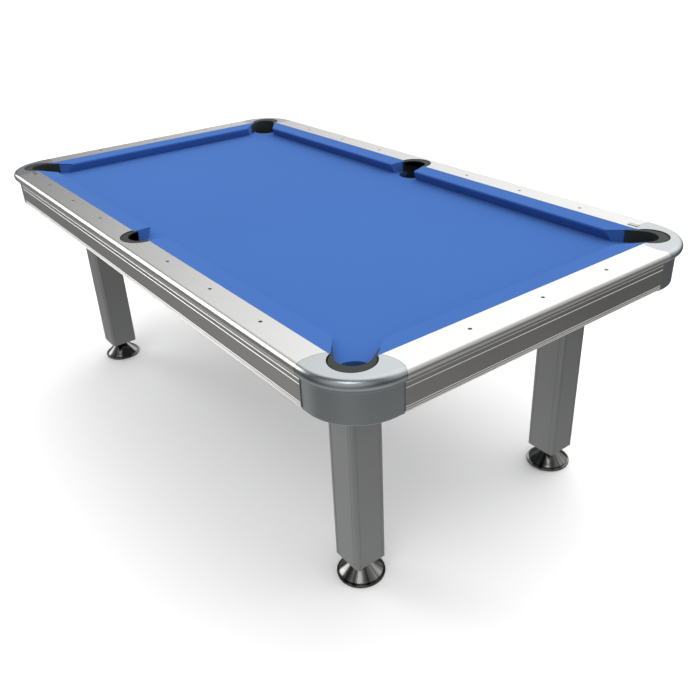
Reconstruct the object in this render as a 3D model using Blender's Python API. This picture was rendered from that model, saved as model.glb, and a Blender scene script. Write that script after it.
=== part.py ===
"""A seven-foot aluminium pool table, in metres, +Z up, centred on the origin and standing on z = 0.

X runs along the table. "Out" is a distance outwards from the line of the cushions' noses, on any side.
The front is -Y and the right is +X. Everything is worked out from the named sizes below.
"""

import math

import bmesh
import bpy
from mathutils import Matrix

# Playing surface, nose to nose, and the heights above the floor
PLAY_LENGTH = 1.9812
PLAY_WIDTH = 0.9906
RAIL_TOP = 0.825
CUSHION_HEIGHT = 0.040
CLOTH = 0.0005
SLATE = 0.0254
SLATE_OVERHANG = 0.075

# Rails and aprons
CUSHION_DEPTH = 0.060
RAIL_WIDTH = 0.087
RAIL_WALL = 0.004
BULLNOSE_RADIUS = 0.016
RAIL_LIP = 0.026
APRON_INSET = 0.014
APRON_HEIGHT = 0.0825
APRON_WALL = 0.004
APRON_FLANGE = 0.020
RIDGE_DEPTH = 0.0012
RIDGE_HALF = 0.0015
RIDGES_FROM_TOP = (0.0095, 0.0225)
RIDGES_FROM_BOTTOM = (0.0015, 0.0065, 0.0125)

# Cushions
NOSE_HEIGHT = 0.0315
NOSE_CHAMFER = 0.004
CUSHION_UNDERCUT = 0.015
CORNER_FACING = math.radians(40)
SIDE_FACING = math.radians(14)

# Corner castings
CORNER_RADIUS = 0.155
SEAM_RADIUS = 0.090
SEAM_MARGIN = 0.0098
CASTING_WALL = 0.005
CASTING_PLATE = 0.004
CASTING_REACH = 0.030
SKIRT_DROP = 0.006
SKIRT_FILLET = 0.003
STEP_DEPTH = 0.004
STEP_HEIGHT = 0.007

# Pockets: the drop is the hole that the ball falls through
CORNER_DROP = 0.043
CORNER_SETBACK = 0.025
CORNER_HORN = 0.0073
HOLE_SHIFT = 0.012
HOLE_BAND = 0.012
SIDE_DROP = 0.0485
SIDE_SETBACK = 0.050
SIDE_HORN = 0.003
SIDE_BAND = 0.0125
HORN_TIP = 0.0015
CORNER_HORN_OUT = 0.034
SIDE_HORN_OUT = 0.048
LINER_REVEAL = 0.0015
LINER_WALL = 0.003
LINER_STEP = 0.0005
LINER_PLATE = 0.004
LINER_LIP = 0.0085
LINER_LIP_HEIGHT = 0.005
LINER_BELOW_SLATE_TOP = 0.024
CUP_RADIUS = 0.052
CUP_FLOOR_RADIUS = 0.0505
CUP_WALL = 0.003
CUP_FLANGE = 0.010
CUP_DEPTH = 0.086

# Frame and legs
BEAM_WIDTH = 0.050
BEAM_HEIGHT = 0.045
BEAM_WALL = 0.003
BEAM_END = 0.010
LEG_PLATE = 0.006
LEG_PLATE_MARGIN = 0.014
LEG_SIDE = 0.102
LEG_WALL = 0.004
LEG_CORNER = 0.008
LEG_INSET_X = 0.1345
LEG_INSET_Y = 0.0890
GROOVE_FROM_EDGE = 0.014
GROOVE_WIDTH = 0.002
GROOVE_DEPTH = 0.001

# Screw feet
FOOT_RADIUS = 0.070
FOOT_BASE = 0.010
FOOT_HEIGHT = 0.067
CONE_RADIUS = 0.064
CONE_NECK = 0.016
CONE_TOP = 0.060
STEM_RADIUS = 0.008
STEM_CLEARANCE = 0.0055
STEM_ABOVE_LEG_END = 0.061
END_PLATE = 0.0105
END_PLATE_RECESS = 0.0015

# Blank name plates on the long rails
NAME_PLATE = (0.032, 0.017, 0.001)
NAME_PLATE_FROM_NOSE_CORNER = 0.046
NAME_PLATE_OUT = 0.082

# Clearances
GAP = 0.0003
FIT = 0.0005

# How many straight steps stand for a round stretch
RAIL_NOSE_STEPS = 12
CASTING_NOSE_STEPS = 6
BEND_STEPS = 10
SEAM_STEPS = 72
POCKET_STEPS = 12
LINER_TURN = 15
CUP_STEPS = 24
FOOT_STEPS = 24

# Worked out from the sizes above
NOSE_X = PLAY_LENGTH / 2
NOSE_Y = PLAY_WIDTH / 2
BED_TOP = RAIL_TOP - CUSHION_HEIGHT
SLATE_TOP = BED_TOP - CLOTH - GAP
SLATE_BOTTOM = SLATE_TOP - SLATE
RAIL_OUTER = CUSHION_DEPTH + RAIL_WIDTH
BULLNOSE_OUT = RAIL_OUTER - BULLNOSE_RADIUS
RAIL_BOTTOM = RAIL_TOP - 2 * BULLNOSE_RADIUS
APRON_TOP = RAIL_BOTTOM - FIT
APRON_BOTTOM = APRON_TOP - APRON_HEIGHT
APRON_OUT = RAIL_OUTER - APRON_INSET
HOLE_CENTRE = CORNER_SETBACK + HOLE_SHIFT
HOLE_RADIUS = CORNER_DROP + HOLE_BAND
NOTCH_RADIUS = SIDE_DROP + SIDE_BAND
CORNER_BITE = CORNER_DROP + LINER_WALL + FIT
SIDE_BITE = SIDE_DROP + LINER_WALL + FIT
LINER_TOP = RAIL_TOP - LINER_REVEAL
BEAM_TOP = SLATE_BOTTOM - GAP
BEAM_BOTTOM = BEAM_TOP - BEAM_HEIGHT
LEG_TOP = BEAM_BOTTOM - LEG_PLATE - 2 * GAP
LEG_X = NOSE_X - LEG_INSET_X
LEG_Y = NOSE_Y - LEG_INSET_Y

# Where the seam between a rail and its casting crosses the rail's inner edge, and its circle's centre
HOLE_EDGE = HOLE_CENTRE - math.sqrt(HOLE_RADIUS**2 - (CUSHION_DEPTH - HOLE_CENTRE) ** 2)
SEAM_EDGE = HOLE_EDGE - SEAM_MARGIN
SEAM_ALONG = SEAM_EDGE + math.sqrt(SEAM_RADIUS**2 - (RAIL_WIDTH / 2) ** 2)
SEAM_OUT = CUSHION_DEPTH + RAIL_WIDTH / 2

# The noses' tips, from the facings' clearance to the drops
CORNER_TIP = (
    CORNER_DROP + CORNER_HORN + CORNER_SETBACK * math.cos(CORNER_FACING)
) / math.sin(CORNER_FACING) - CORNER_SETBACK
SIDE_EDGE = math.sqrt(SIDE_DROP**2 - (CUSHION_DEPTH - SIDE_SETBACK) ** 2) + SIDE_HORN
SIDE_TIP = SIDE_EDGE + CUSHION_DEPTH * math.tan(SIDE_FACING)

CORNERS = {
    "front_left": (-1, -1),
    "front_right": (1, -1),
    "back_left": (-1, 1),
    "back_right": (1, 1),
}
LONG_SIDES = {"front": -1, "back": 1}
SHORT_SIDES = {"left": -1, "right": 1}


def material(name, red, green, blue, roughness, metallic):
    made = bpy.data.materials.new(name)
    made.use_nodes = True
    shader = made.node_tree.nodes["Principled BSDF"]
    shader.inputs["Base Color"].default_value = (red, green, blue, 1)
    shader.inputs["Roughness"].default_value = roughness
    shader.inputs["Metallic"].default_value = metallic
    return made


def arc(centre, radius, start, end, steps):
    """Points on a circle from one angle to another, in degrees, both ends included."""
    turns = [math.radians(start + (end - start) * step / steps) for step in range(steps + 1)]
    return [(centre[0] + radius * math.cos(t), centre[1] + radius * math.sin(t)) for t in turns]


def even_arc(centre, radius, start, end):
    """As arc, with a point at every whole LINER_TURN between the ends, so that arcs about one centre run parallel."""
    low, high = sorted((start, end))
    count = round(360 / LINER_TURN)
    between = [i * LINER_TURN for i in range(-count, count) if low + 1 < i * LINER_TURN < high - 1]
    angles = [low] + between + [high]
    turns = [math.radians(angle) for angle in (angles if start < end else reversed(angles))]
    return [(centre[0] + radius * math.cos(t), centre[1] + radius * math.sin(t)) for t in turns]


def along_z(a, b, t):
    return (a, b, t)


def on_long_side(side):
    """Places a section of (out, height) on a long side; its length runs along X."""
    return lambda out, height, t: (t, side * (NOSE_Y + out), height)


def on_short_side(side):
    """Places a section of (out, height) on a short side; its length runs along Y."""
    return lambda out, height, t: (side * (NOSE_X + out), t, height)


def finished(bm):
    """A mesh with its faces pointing out, from a closed bmesh."""
    bmesh.ops.recalc_face_normals(bm, faces=bm.faces)
    mesh = bpy.data.meshes.new("shape")
    bm.to_mesh(mesh)
    bm.free()
    return mesh


def prism(loops, low, high, place=along_z):
    """A straight prism on an outline, with any holes, from low to high."""
    bm = bmesh.new()
    edges = []
    for loop in loops:
        points = [bm.verts.new((a, b, low)) for a, b in loop]
        edges += [bm.edges.new((points[i - 1], points[i])) for i in range(len(points))]
    bmesh.ops.triangle_fill(bm, use_beauty=True, edges=edges)
    grown = bmesh.ops.extrude_face_region(bm, geom=bm.faces[:])
    for item in grown["geom"]:
        if isinstance(item, bmesh.types.BMVert):
            item.co.z = high
    for vert in bm.verts:
        vert.co = place(*vert.co)
    return finished(bm)


def loft(levels):
    """A closed solid through outlines of equal count, each at its own height."""
    bm = bmesh.new()
    rings = [[bm.verts.new((x, y, z)) for x, y in outline] for outline, z in levels]
    count = len(rings[0])
    for lower, upper in zip(rings, rings[1:]):
        for i in range(count):
            bm.faces.new((lower[i - 1], lower[i], upper[i], upper[i - 1]))
    bm.faces.new(rings[0])
    bm.faces.new(rings[-1])
    return finished(bm)


def turned(profile, segments):
    """A solid turned about Z from a profile of (radius, height) that starts and ends on the axis."""
    bm = bmesh.new()
    rings = []
    for radius, height in profile:
        count = segments if radius else 1
        angles = [math.tau * i / segments for i in range(count)]
        rings.append([bm.verts.new((radius * math.cos(t), radius * math.sin(t), height)) for t in angles])
    for ring, following in zip(rings, rings[1:]):
        for i in range(segments):
            j = (i + 1) % segments
            corners = [ring[i % len(ring)], ring[j % len(ring)]]
            corners += [following[j % len(following)], following[i % len(following)]]
            bm.faces.new(dict.fromkeys(corners))
    return finished(bm)


def combined(mesh, operation, tool, solver="EXACT"):
    """The Boolean of two meshes, as a new mesh."""
    body = bpy.data.objects.new("body", mesh)
    cutter = bpy.data.objects.new("cutter", tool)
    for helper in (body, cutter):
        bpy.context.scene.collection.objects.link(helper)
    cut = body.modifiers.new("cut", "BOOLEAN")
    cut.operation = operation
    cut.solver = solver
    cut.object = cutter
    graph = bpy.context.evaluated_depsgraph_get()
    result = bpy.data.meshes.new_from_object(body.evaluated_get(graph))
    for helper in (body, cutter):
        bpy.data.objects.remove(helper)
    return result


def moved(mesh, x, y):
    """A copy of a mesh, shifted in plan."""
    copy = mesh.copy()
    copy.transform(Matrix.Translation((x, y, 0)))
    return copy


def mirrored(mesh, side_x, side_y):
    """A copy of a mesh modelled at +X +Y, for the corner with these signs."""
    copy = mesh.copy()
    copy.transform(Matrix.Diagonal((side_x, side_y, 1, 1)))
    if side_x * side_y < 0:
        copy.flip_normals()
    return copy


def node(name, mesh, finish, location=(0, 0, 0), smooth=False):
    mesh.name = name
    mesh.materials.clear()
    mesh.materials.append(finish)
    if smooth:
        mesh.shade_smooth()
        mesh.set_sharp_from_angle(angle=math.radians(30))
    made = bpy.data.objects.new(name, mesh)
    made.location = location
    bpy.context.scene.collection.objects.link(made)
    return made


def box(half_x, half_y, low, high):
    outline = [(-half_x, -half_y), (half_x, -half_y), (half_x, half_y), (-half_x, half_y)]
    return prism([outline], low, high)


def disc(centre, radius, low, high, segments=4 * POCKET_STEPS):
    return prism([arc(centre, radius, 0, 360, segments)[:-1]], low, high)


def bed_outline(overhang):
    """A rectangle past the noses, with a bite for each pocket that opens straight outwards."""
    half_x, half_y = NOSE_X + overhang, NOSE_Y + overhang
    side_centre = NOSE_Y + SIDE_SETBACK
    bite = CORNER_BITE * math.sqrt(0.5)
    inner = CORNER_SETBACK - bite
    points = []
    for turn in (1, -1):
        corner = arc((NOSE_X + CORNER_SETBACK, NOSE_Y + CORNER_SETBACK), CORNER_BITE, 315, 135, POCKET_STEPS)
        quadrant = [(half_x, NOSE_Y + inner)] + corner + [(NOSE_X + inner, half_y)]
        side = [(SIDE_BITE, half_y)] + arc((0, side_centre), SIDE_BITE, 360, 180, POCKET_STEPS) + [(-SIDE_BITE, half_y)]
        across = [(-x, y) for x, y in reversed(quadrant)]
        points += [(turn * x, turn * y) for x, y in quadrant + side + across]
    return points


def slate_and_cloth():
    """The slate is in two pieces that meet over the middle beam, under one cloth."""
    half_x, half_y = NOSE_X + SLATE_OVERHANG, NOSE_Y + SLATE_OVERHANG
    for name, side in SHORT_SIDES.items():
        slab = prism([bed_outline(SLATE_OVERHANG)], SLATE_BOTTOM, SLATE_TOP)
        keep = box(half_x / 2, half_y + 0.01, SLATE_BOTTOM - 0.01, SLATE_TOP + 0.01)
        keep = moved(keep, side * (half_x / 2 + GAP / 2), 0)
        node(f"slate_{name}", combined(slab, "INTERSECT", keep), STONE)
    node("bed_cloth", prism([bed_outline(SLATE_OVERHANG)], BED_TOP - CLOTH, BED_TOP), CLOTH_BLUE)


def corner_facing(out):
    """How far a cushion's end at a corner pocket lies past the nose corner, at this distance out."""
    return out / math.tan(CORNER_FACING) - CORNER_TIP


def side_facing(out):
    """A cushion's end at a side pocket, from the table's middle, at this distance out."""
    return SIDE_TIP - out * math.tan(SIDE_FACING)


def cushion(start, end, place):
    """A cushion whose ends follow the pockets' facings, as functions of the distance out."""
    back = CUSHION_DEPTH - GAP
    nose = BED_TOP + NOSE_HEIGHT
    base = BED_TOP + GAP
    section = [
        (0, nose),
        (0.0015, nose + NOSE_CHAMFER),
        (back, RAIL_TOP - GAP),
        (back, base),
        (CUSHION_UNDERCUT, base),
        (0.0005, nose - 0.003),
    ]
    bm = bmesh.new()
    first = [bm.verts.new(place(out, z, start(out))) for out, z in section]
    last = [bm.verts.new(place(out, z, end(out))) for out, z in section]
    for i in range(len(section)):
        bm.faces.new((first[i - 1], first[i], last[i], last[i - 1]))
    bm.faces.new(first)
    bm.faces.new(last)
    return finished(bm)


def cushions():
    for side_name, side in LONG_SIDES.items():
        for end_name, end in SHORT_SIDES.items():
            shape = cushion(
                lambda out, end=end: end * side_facing(out),
                lambda out, end=end: end * (NOSE_X + corner_facing(out)),
                on_long_side(side),
            )
            node(f"cushion_{side_name}_{end_name}", shape, CLOTH_BLUE)
    for end_name, end in SHORT_SIDES.items():
        shape = cushion(
            lambda out: -NOSE_Y - corner_facing(out),
            lambda out: NOSE_Y + corner_facing(out),
            on_short_side(end),
        )
        node(f"cushion_{end_name}_end", shape, CLOTH_BLUE)


def rail_section():
    """An open channel: inner web, flat top, round outer nose and an inward lip, all one wall thick."""
    inner = CUSHION_DEPTH + GAP
    centre = (BULLNOSE_OUT, RAIL_TOP - BULLNOSE_RADIUS)
    hollow = BULLNOSE_RADIUS - RAIL_WALL
    return (
        [(inner, RAIL_TOP)]
        + arc(centre, BULLNOSE_RADIUS, 90, -90, RAIL_NOSE_STEPS)
        + [(BULLNOSE_OUT - RAIL_LIP, RAIL_BOTTOM), (BULLNOSE_OUT - RAIL_LIP, RAIL_BOTTOM + RAIL_WALL)]
        + arc(centre, hollow, -90, 90, RAIL_NOSE_STEPS // 2)
        + [(inner + RAIL_WALL, RAIL_TOP - RAIL_WALL), (inner + RAIL_WALL, BED_TOP + GAP)]
        + [(inner, BED_TOP + GAP)]
    )


def apron_section():
    """A fluted plate with an inward flange at its top and its bottom."""
    back = APRON_OUT - APRON_WALL
    flange = APRON_OUT - APRON_FLANGE
    heights = [APRON_TOP - drop for drop in RIDGES_FROM_TOP]
    heights += [APRON_BOTTOM + rise for rise in reversed(RIDGES_FROM_BOTTOM)]
    face = [(APRON_OUT, APRON_TOP)]
    for height in heights:
        top, bottom = height + RIDGE_HALF, max(height - RIDGE_HALF, APRON_BOTTOM + GAP)
        face += [(APRON_OUT, top), (APRON_OUT + RIDGE_DEPTH, height + RIDGE_HALF / 3)]
        face += [(APRON_OUT + RIDGE_DEPTH, height - RIDGE_HALF / 3), (APRON_OUT, bottom)]
    return face + [
        (APRON_OUT, APRON_BOTTOM),
        (flange, APRON_BOTTOM),
        (flange, APRON_BOTTOM + APRON_WALL),
        (back, APRON_BOTTOM + APRON_WALL),
        (back, APRON_TOP - APRON_WALL),
        (flange, APRON_TOP - APRON_WALL),
        (flange, APRON_TOP),
    ]


def seam_cutters(long_side):
    """The two round ends of the castings, which the ends of a rail or an apron clear."""
    along, out = (SEAM_ALONG, SEAM_OUT) if long_side else (SEAM_OUT, SEAM_ALONG)
    cutters = []
    for end in (-1, 1):
        centre = (end * (NOSE_X + along), NOSE_Y + out) if long_side else (NOSE_X + along, end * (NOSE_Y + out))
        cutters.append(disc(centre, SEAM_RADIUS + GAP, 0, 2 * RAIL_TOP, SEAM_STEPS))
    return cutters


def straight_pieces():
    notch = disc((0, NOSE_Y + CUSHION_DEPTH), NOTCH_RADIUS, 0, 2 * RAIL_TOP)
    for name, section in (("rail", rail_section()), ("apron", apron_section())):
        long_piece = prism([section], -NOSE_X, NOSE_X, on_long_side(1))
        short_piece = prism([section], -NOSE_Y, NOSE_Y, on_short_side(1))
        for cutter in seam_cutters(True):
            long_piece = combined(long_piece, "DIFFERENCE", cutter)
        for cutter in seam_cutters(False):
            short_piece = combined(short_piece, "DIFFERENCE", cutter)
        if name == "rail":
            long_piece = combined(long_piece, "DIFFERENCE", notch)
        for side_name, side in LONG_SIDES.items():
            node(f"{name}_{side_name}", mirrored(long_piece, 1, side), ALUMINIUM, smooth=True)
        for side_name, side in SHORT_SIDES.items():
            node(f"{name}_{side_name}", mirrored(short_piece, side, 1), ALUMINIUM, smooth=True)


def casting_outline(inset):
    """The corner's outline in plan, moved in by inset on its two outer sides."""
    outer_x, outer_y = NOSE_X + RAIL_OUTER, NOSE_Y + RAIL_OUTER
    centre = (outer_x - CORNER_RADIUS, outer_y - CORNER_RADIUS)
    start = NOSE_X + SEAM_EDGE - CASTING_REACH
    low = NOSE_Y + SEAM_EDGE - CASTING_REACH
    bend = arc(centre, CORNER_RADIUS - inset, 90, 0, BEND_STEPS)
    return [(start, outer_y - inset)] + bend + [(outer_x - inset, low), (start, low)]


def casting():
    """A corner: a plate with a round nose, two small steps under it and a skirt, open underneath."""
    skirt = APRON_INSET + 0.002
    bottom = APRON_BOTTOM - SKIRT_DROP
    levels = [(bottom, skirt + SKIRT_FILLET), (bottom + SKIRT_FILLET * 0.3, skirt + SKIRT_FILLET * 0.3)]
    levels += [(bottom + SKIRT_FILLET, skirt), (RAIL_BOTTOM - STEP_HEIGHT, skirt)]
    levels += [(RAIL_BOTTOM - STEP_HEIGHT, skirt - STEP_DEPTH), (RAIL_BOTTOM + 0.002, skirt - STEP_DEPTH)]
    nose = arc((BULLNOSE_RADIUS, RAIL_TOP - BULLNOSE_RADIUS), BULLNOSE_RADIUS, 240, 90, CASTING_NOSE_STEPS)
    levels += [(z, inset) for inset, z in nose]
    body = loft([(casting_outline(inset), z) for z, inset in levels])

    inner_wall = casting_outline(skirt + CASTING_WALL)
    reach = 2 * CASTING_REACH
    inner_wall[0] = (inner_wall[0][0] - reach, inner_wall[0][1])
    inner_wall[-2] = (inner_wall[-2][0], inner_wall[-2][1] - reach)
    inner_wall[-1] = (inner_wall[-1][0] - reach, inner_wall[-1][1] - reach)
    body = combined(body, "DIFFERENCE", prism([inner_wall], 0, RAIL_TOP - CASTING_PLATE))
    centre = (NOSE_X + HOLE_CENTRE, NOSE_Y + HOLE_CENTRE)
    body = combined(body, "DIFFERENCE", disc(centre, HOLE_RADIUS, 0, 2 * RAIL_TOP))
    lip_room = HOLE_RADIUS - LINER_REVEAL + LINER_LIP + FIT
    body = combined(body, "DIFFERENCE", disc(centre, lip_room, 0, RAIL_TOP - CASTING_PLATE))

    half = math.degrees(math.asin(RAIL_WIDTH / 2 / SEAM_RADIUS))
    first = arc((NOSE_X + SEAM_ALONG, NOSE_Y + SEAM_OUT), SEAM_RADIUS, 180 + half, 180 - half, SEAM_STEPS // 8)
    second = arc((NOSE_X + SEAM_OUT, NOSE_Y + SEAM_ALONG), SEAM_RADIUS, 270 + half, 270 - half, SEAM_STEPS // 8)
    beyond = 2 * RAIL_OUTER
    inner = CUSHION_DEPTH + GAP
    corner = [(NOSE_X + SEAM_EDGE, NOSE_Y + beyond), (NOSE_X + beyond, NOSE_Y + beyond)]
    corner += [(NOSE_X + beyond, NOSE_Y + SEAM_EDGE)]
    first[0] = (first[0][0], NOSE_Y + inner)
    second[-1] = (NOSE_X + inner, second[-1][1])
    keep = first + corner + second + [(NOSE_X + inner, NOSE_Y + inner)]
    return combined(body, "INTERSECT", prism([keep], 0, 2 * RAIL_TOP))


def castings():
    shape = casting()
    for name, (side_x, side_y) in CORNERS.items():
        node(f"casting_{name}", mirrored(shape, side_x, side_y), ALUMINIUM, smooth=True)


def swapped(points):
    """The same points on the other side of the corner's diagonal, in the opposite order."""
    return [(b, a) for a, b in reversed(points)]


def turned_out(along, out, angle, distance):
    return (along + distance * math.cos(angle), out + distance * math.sin(angle))


def corner_horn(drop, clearance):
    """The horn beside a corner facing: its outer edge out to the rail, its tip, and where it meets the drop."""
    clear = CORNER_FACING - math.pi / 2
    edge = [(corner_facing(out), out) for out in (CUSHION_DEPTH - clearance, CORNER_HORN_OUT + clearance)]
    outer = [turned_out(along, out, clear, clearance) for along, out in edge]
    tip = turned_out(*outer[1], clear, HORN_TIP)
    reach = math.hypot(CORNER_SETBACK - tip[0], CORNER_SETBACK - tip[1])
    bearing = math.atan2(CORNER_SETBACK - tip[1], CORNER_SETBACK - tip[0])
    touch = math.degrees(bearing + math.asin(drop / reach)) + 90
    return [tip, outer[1], outer[0]], touch


def union(parts):
    """Thin shells inside one another, which the exact solver leaves with open edges."""
    whole = parts[0]
    for part in parts[1:]:
        whole = combined(whole, "UNION", part, "MANIFOLD")
    return whole


def liner(plate, fence, wall, lip):
    """A liner's plate, the fence under it beside the bed, the wall down through the slate and the lip outside."""
    floor = LINER_TOP - LINER_PLATE
    lip_top = RAIL_TOP - CASTING_PLATE - FIT
    fence_low = BED_TOP + FIT
    return union(
        [
            prism([plate], floor, LINER_TOP),
            prism([fence], fence_low, floor + LINER_PLATE / 2),
            prism([wall], SLATE_TOP - LINER_BELOW_SLATE_TOP, fence_low + LINER_WALL),
            prism([lip], lip_top - LINER_LIP_HEIGHT, lip_top),
        ]
    )


def corner_liner():
    """A crescent with two horns; (0, 0) is the nose corner."""
    drop = (CORNER_SETBACK, CORNER_SETBACK)
    hole = (HOLE_CENTRE, HOLE_CENTRE)
    rim = HOLE_RADIUS - LINER_REVEAL
    horn, touch = corner_horn(CORNER_DROP, FIT)
    start = math.degrees(math.pi - math.asin((CUSHION_DEPTH - HOLE_CENTRE) / rim))
    ring = even_arc(hole, rim, start, 90 - start)
    plate = horn + ring + swapped(horn) + even_arc(drop, CORNER_DROP, 90 - touch, touch)

    inner = CORNER_DROP + LINER_STEP
    horn, touch = corner_horn(inner, FIT + LINER_STEP)
    ring = even_arc(drop, CORNER_DROP + LINER_WALL, touch, 90 - touch)
    fence = horn[:2] + ring + swapped(horn[:2]) + even_arc(drop, inner, 90 - touch, touch)

    wall = even_arc(drop, CORNER_DROP + LINER_WALL - LINER_STEP, 125, -35)
    wall += even_arc(drop, inner + LINER_STEP, -35, 125)
    lip = even_arc(hole, rim + LINER_LIP, 110, -20) + even_arc(hole, rim - LINER_WALL, -20, 110)
    return liner(plate, fence, wall, lip)


def side_liner():
    """A crescent with two short horns; (0, 0) is on the nose line at the table's middle."""
    notch = (0, CUSHION_DEPTH)
    drop = (0, SIDE_SETBACK)
    rim = NOTCH_RADIUS - LINER_REVEAL
    outlines = []
    for step, outer_centre, outer in ((0, notch, rim), (LINER_STEP, drop, SIDE_DROP + LINER_WALL)):
        low_out, back = SIDE_HORN_OUT + step, CUSHION_DEPTH + GAP
        low = math.degrees(math.asin((low_out - SIDE_SETBACK) / (SIDE_DROP + step)))
        level = math.degrees(math.asin((back + step - outer_centre[1]) / outer))
        horn = [(side_facing(out) - FIT - step, out) for out in (low_out, back)]
        across = [(-along, out) for along, out in reversed(horn)]
        ring = even_arc(outer_centre, outer, level, 180 - level)
        outlines.append(horn + ring + across + even_arc(drop, SIDE_DROP + step, 180 - low, low))
    wall = even_arc(drop, SIDE_DROP + LINER_WALL - LINER_STEP, 17, 163)
    wall += even_arc(drop, SIDE_DROP + 2 * LINER_STEP, 163, 17)
    lip = even_arc(notch, rim + LINER_LIP, 15, 165) + even_arc(notch, rim - LINER_WALL, 165, 15)
    return liner(*outlines, wall, lip)


def cup():
    """A drop pocket: a round cup with a flange that bolts up under the slate."""
    top = BEAM_TOP
    flange = top - CUP_WALL
    bottom = top - CUP_DEPTH
    inner = CUP_RADIUS - CUP_WALL
    profile = [
        (0, bottom),
        (CUP_FLOOR_RADIUS - 0.008, bottom),
        (CUP_FLOOR_RADIUS, bottom + 0.008),
        (CUP_RADIUS, flange),
        (CUP_RADIUS + CUP_FLANGE, flange),
        (CUP_RADIUS + CUP_FLANGE, top),
        (inner, top),
        (CUP_FLOOR_RADIUS - CUP_WALL, bottom + 0.009),
        (CUP_FLOOR_RADIUS - 0.010, bottom + CUP_WALL),
        (0, bottom + CUP_WALL),
    ]
    return turned(profile, CUP_STEPS)


def pockets():
    corner = moved(corner_liner(), NOSE_X, NOSE_Y)
    side = moved(side_liner(), 0, NOSE_Y)
    for name, (side_x, side_y) in CORNERS.items():
        node(f"pocket_liner_{name}", mirrored(corner, side_x, side_y), POCKET_BLACK, smooth=True)
        centre = (side_x * (NOSE_X + CORNER_SETBACK), side_y * (NOSE_Y + CORNER_SETBACK), 0)
        node(f"pocket_cup_{name}", cup(), POCKET_BLACK, centre, smooth=True)
    for name, side_y in LONG_SIDES.items():
        node(f"pocket_liner_{name}_side", mirrored(side, 1, side_y), POCKET_BLACK, smooth=True)
        centre = (0, side_y * (NOSE_Y + SIDE_SETBACK), 0)
        node(f"pocket_cup_{name}_side", cup(), POCKET_BLACK, centre, smooth=True)


def beam(length, along_x):
    """A box tube with open ends, along X or Y."""
    half = BEAM_WIDTH / 2
    loops = []
    for inset in (0, BEAM_WALL):
        side, low, high = half - inset, BEAM_BOTTOM + inset, BEAM_TOP - inset
        loops.append([(-side, low), (side, low), (side, high), (-side, high)])
    if along_x:
        return prism(loops, -length / 2, length / 2, lambda across, z, t: (t, across, z))
    return prism(loops, -length / 2, length / 2, lambda across, z, t: (across, t, z))


def frame_beams():
    for name, side in LONG_SIDES.items():
        shape = beam(2 * (NOSE_X + BEAM_END), True)
        node(f"frame_beam_{name}", shape, STEEL_BLACK, (0, side * LEG_Y, 0))
    for name, x in (("left", -LEG_X), ("middle", 0), ("right", LEG_X)):
        shape = beam(2 * (LEG_Y - BEAM_WIDTH / 2 - GAP), False)
        node(f"cross_beam_{name}", shape, STEEL_BLACK, (x, 0, 0))


def leg_outline():
    """A square with round corners and a fine groove beside each corner."""
    half = LEG_SIDE / 2
    flat = half - LEG_CORNER
    side = [(half, -flat)]
    for place in (GROOVE_FROM_EDGE - half, half - GROOVE_FROM_EDGE):
        low, high = place - GROOVE_WIDTH / 2, place + GROOVE_WIDTH / 2
        side += [(half, low), (half - GROOVE_DEPTH, low), (half - GROOVE_DEPTH, high), (half, high)]
    side += arc((flat, flat), LEG_CORNER, 0, 90, 3)[:-1]
    points = []
    for turn in range(4):
        cos, sin = round(math.cos(turn * math.pi / 2)), round(math.sin(turn * math.pi / 2))
        points += [(x * cos - y * sin, x * sin + y * cos) for x, y in side]
    return points


def ring_plate(half, bore, low, high):
    outline = [(-half, -half), (half, -half), (half, half), (-half, half)]
    return prism([outline, arc((0, 0), bore, 0, 360, FOOT_STEPS)[:-1]], low, high)


def legs_and_feet():
    half = LEG_SIDE / 2
    hollow = half - LEG_WALL
    bore = [(-hollow, -hollow), (hollow, -hollow), (hollow, hollow), (-hollow, hollow)]
    foot_base = [
        (0, 0),
        (FOOT_RADIUS - 0.003, 0),
        (FOOT_RADIUS, 0.003),
        (FOOT_RADIUS, FOOT_BASE - 0.002),
        (FOOT_RADIUS - 0.002, FOOT_BASE),
        (0, FOOT_BASE),
    ]
    stem_top = FOOT_HEIGHT + STEM_ABOVE_LEG_END
    foot_cone = [(0, FOOT_BASE + GAP), (CONE_RADIUS, FOOT_BASE + GAP), (CONE_RADIUS, FOOT_BASE + 0.004)]
    rise, run = CONE_TOP - FOOT_BASE - 0.004, CONE_RADIUS - CONE_NECK
    for share in (0.25, 0.5, 0.75, 1):
        foot_cone.append((CONE_RADIUS - run * share**0.9, FOOT_BASE + 0.004 + rise * share))
    foot_cone += [(CONE_NECK, FOOT_HEIGHT), (STEM_RADIUS, FOOT_HEIGHT)]
    foot_cone += [(STEM_RADIUS, stem_top - 0.002), (STEM_RADIUS - 0.002, stem_top), (0, stem_top)]
    plate_low = FOOT_HEIGHT + END_PLATE_RECESS
    for name, (side_x, side_y) in CORNERS.items():
        centre = (side_x * LEG_X, side_y * LEG_Y, 0)
        plate = box(half + LEG_PLATE_MARGIN, half + LEG_PLATE_MARGIN, LEG_TOP + GAP, BEAM_BOTTOM - GAP)
        node(f"leg_plate_{name}", plate, STEEL_BLACK, centre)
        node(f"leg_{name}", prism([leg_outline(), bore], FOOT_HEIGHT, LEG_TOP), ALUMINIUM, centre)
        end = ring_plate(hollow - FIT, STEM_RADIUS + STEM_CLEARANCE, plate_low, plate_low + END_PLATE)
        node(f"leg_end_plate_{name}", end, STEEL_BLACK, centre)
        node(f"foot_cone_{name}", turned(foot_cone, FOOT_STEPS), CHROME, centre, smooth=True)
        node(f"foot_base_{name}", turned(foot_base, FOOT_STEPS), CHROME, centre, smooth=True)


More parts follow.
